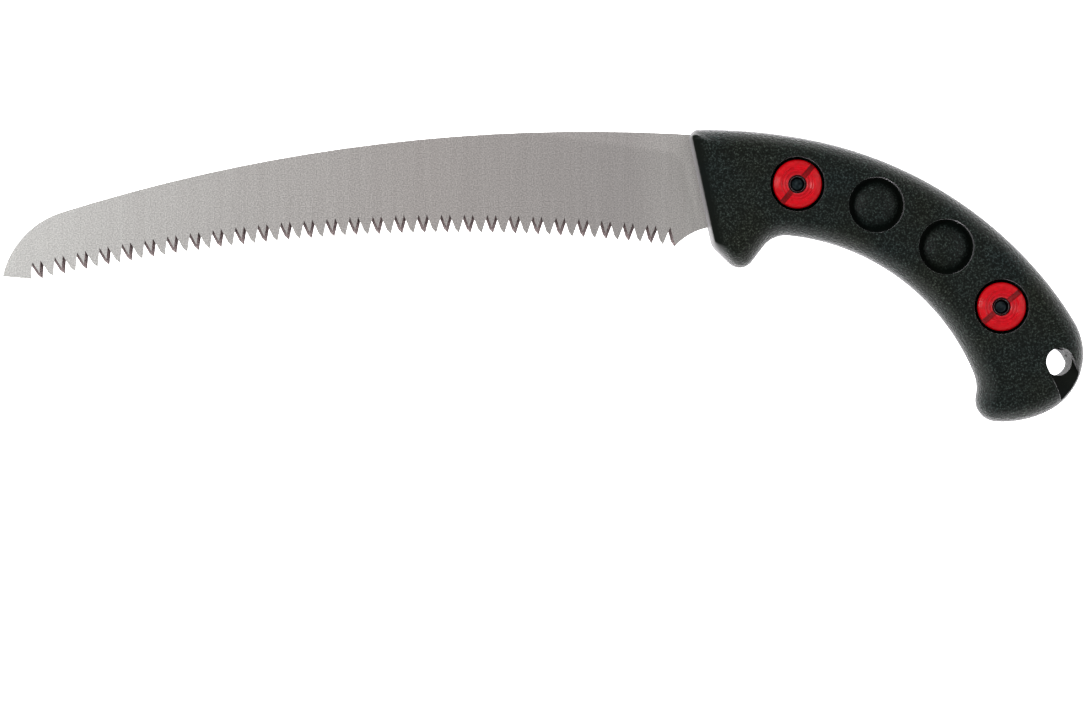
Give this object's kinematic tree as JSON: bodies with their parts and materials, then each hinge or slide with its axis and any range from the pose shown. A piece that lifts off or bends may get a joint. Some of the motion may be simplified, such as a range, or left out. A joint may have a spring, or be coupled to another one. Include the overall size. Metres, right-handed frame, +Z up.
{
  "type": "curved pruning saw",
  "caption": "Curved pruning saw with a fixed triple-ground blade clamped in a two-shell pistol-grip handle by bolts with red coin-slotted nuts.",
  "frame": {"origin": "middle of the bottom of the saw's box, with the saw lying on its right flank", "axes": "+X from the blade's tip to the butt of the handle, +Y from the teeth to the spine, +Z up out of the left flank, which carries the red nuts"},
  "size_m": [0.3999, 0.1084, 0.0215],
  "materials": {
    "blade_steel": "ground satin steel with fine grinding lines across the blade",
    "grip_plastic": "black moulded plastic with a fine leather grain",
    "nut_red": "glossy red, with fine turned rings",
    "dark_steel": "black oxide steel",
    "zinc_steel": "bright zinc plated steel"
  },
  "bodies": {
    "root": {"saw_blade": "blade_steel", "left_handle_shell": "grip_plastic", "right_handle_shell": "grip_plastic", "front_clamp_bolt": "dark_steel", "rear_clamp_bolt": "dark_steel", "front_tang_bush": "zinc_steel", "rear_tang_bush": "zinc_steel"},
    "front_washers": {"front_flat_washer": "zinc_steel", "front_spring_washer": "zinc_steel"},
    "front_nut": {"front_clamp_nut": "nut_red", "front_nut_insert": "dark_steel"},
    "rear_washers": {"rear_flat_washer": "zinc_steel", "rear_spring_washer": "zinc_steel"},
    "rear_nut": {"rear_clamp_nut": "nut_red", "rear_nut_insert": "dark_steel"}
  },
  "joints": [
    {"name": "front_nut_travel", "type": "slide", "parent": "root", "child": "front_washers", "axis": [0, 0, 1], "range_m": [0, 0.0048]},
    {"name": "front_nut_turn", "type": "hinge", "parent": "front_washers", "child": "front_nut", "pos_m": [0.09338, 0.03338, 0.0176], "axis": [0, 0, 1], "range_deg": [0, 2160]},
    {"name": "rear_nut_travel", "type": "slide", "parent": "root", "child": "rear_washers", "axis": [0, 0, 1], "range_m": [0, 0.0048]},
    {"name": "rear_nut_turn", "type": "hinge", "parent": "rear_washers", "child": "rear_nut", "pos_m": [0.16823, -0.0116, 0.0176], "axis": [0, 0, 1], "range_deg": [0, 2160]}
  ],
  "couplings": [
    {"joint": "front_nut_turn", "follows": "front_nut_travel", "rad_per_m": 7854},
    {"joint": "rear_nut_turn", "follows": "rear_nut_travel", "rad_per_m": 7854}
  ]
}
